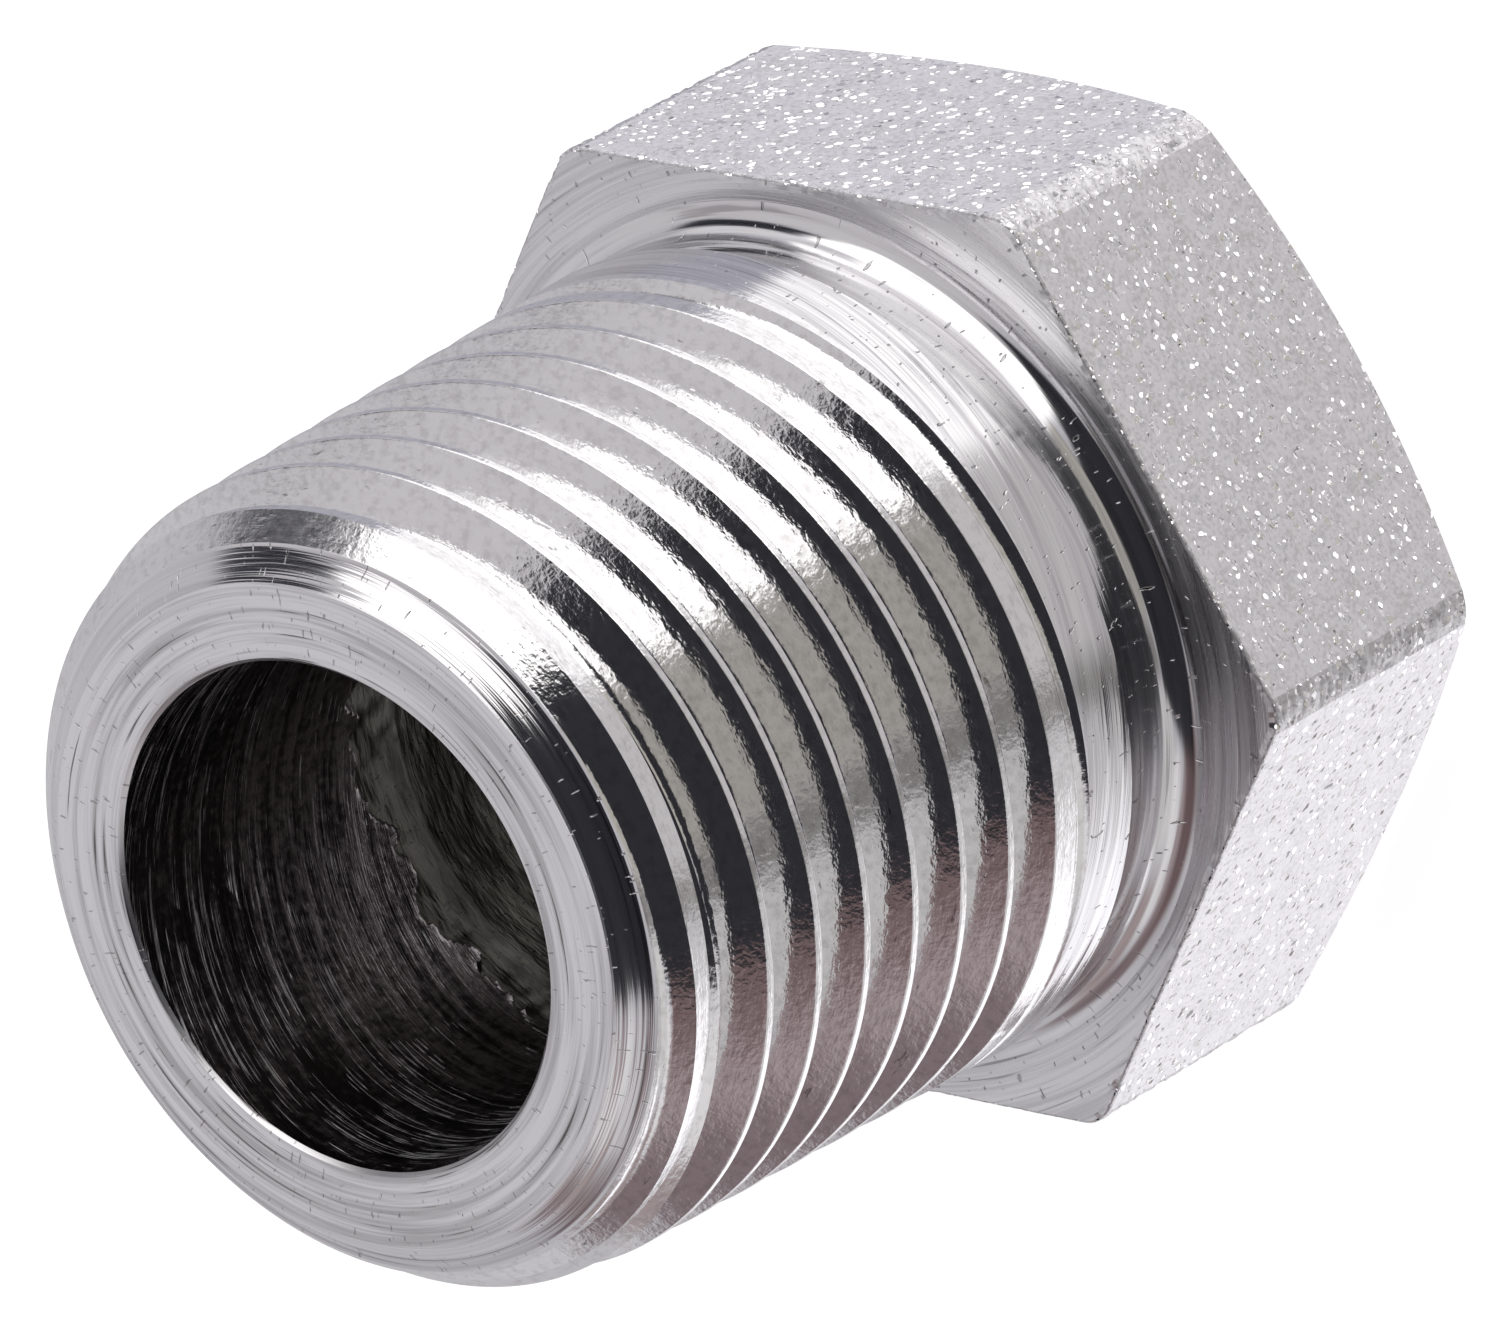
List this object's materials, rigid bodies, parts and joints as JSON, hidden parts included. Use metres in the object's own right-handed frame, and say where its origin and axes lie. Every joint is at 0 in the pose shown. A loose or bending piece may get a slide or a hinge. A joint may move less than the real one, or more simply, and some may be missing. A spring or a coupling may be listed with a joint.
{
  "type": "hydraulic coupling adapter",
  "caption": "Turned steel pipe adapter: hex head with a tapped port, filleted neck, and a male taper thread with a plain through bore.",
  "frame": {"origin": "centre of the hex head's back face, which the part stands on", "axes": "+Z along the axis, from the hex head towards the threaded end; two corners of the hex lie on the X axis and two of its flats face along Y"},
  "size_m": [0.0272, 0.0238, 0.0284],
  "materials": {
    "zinc_plated_steel": "bright zinc plate over turned steel"
  },
  "bodies": {
    "root": {"adapter_body": "zinc_plated_steel"}
  },
  "joints": []
}
